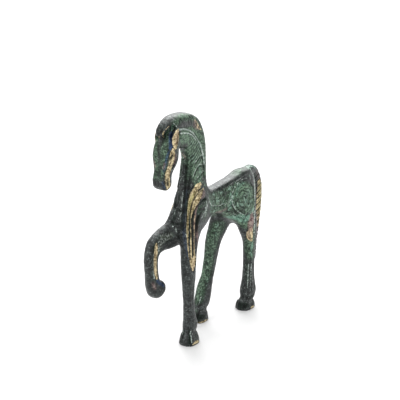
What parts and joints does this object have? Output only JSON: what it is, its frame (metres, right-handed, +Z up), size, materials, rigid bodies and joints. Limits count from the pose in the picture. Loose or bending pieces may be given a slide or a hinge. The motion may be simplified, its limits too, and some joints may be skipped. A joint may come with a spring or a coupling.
{
  "type": "bronze horse statuette",
  "caption": "Slender standing horse cast in solid bronze, neck arched and a foreleg raised, with fluted shoulders, a scrolled haunch, a rope-like tail and a worn green patina.",
  "frame": {"origin": "middle of the casting's box seen from above, in the plane of the three soles", "axes": "+Z up, the horse faces -Y, its left side is +X"},
  "size_m": [0.0252, 0.1193, 0.1518],
  "materials": {
    "patinated_bronze": "cast bronze, chemically patinated dark brown-black and green, rubbed back to bare metal on raised edges"
  },
  "bodies": {
    "root": {"horse_casting": "patinated_bronze"}
  },
  "joints": []
}
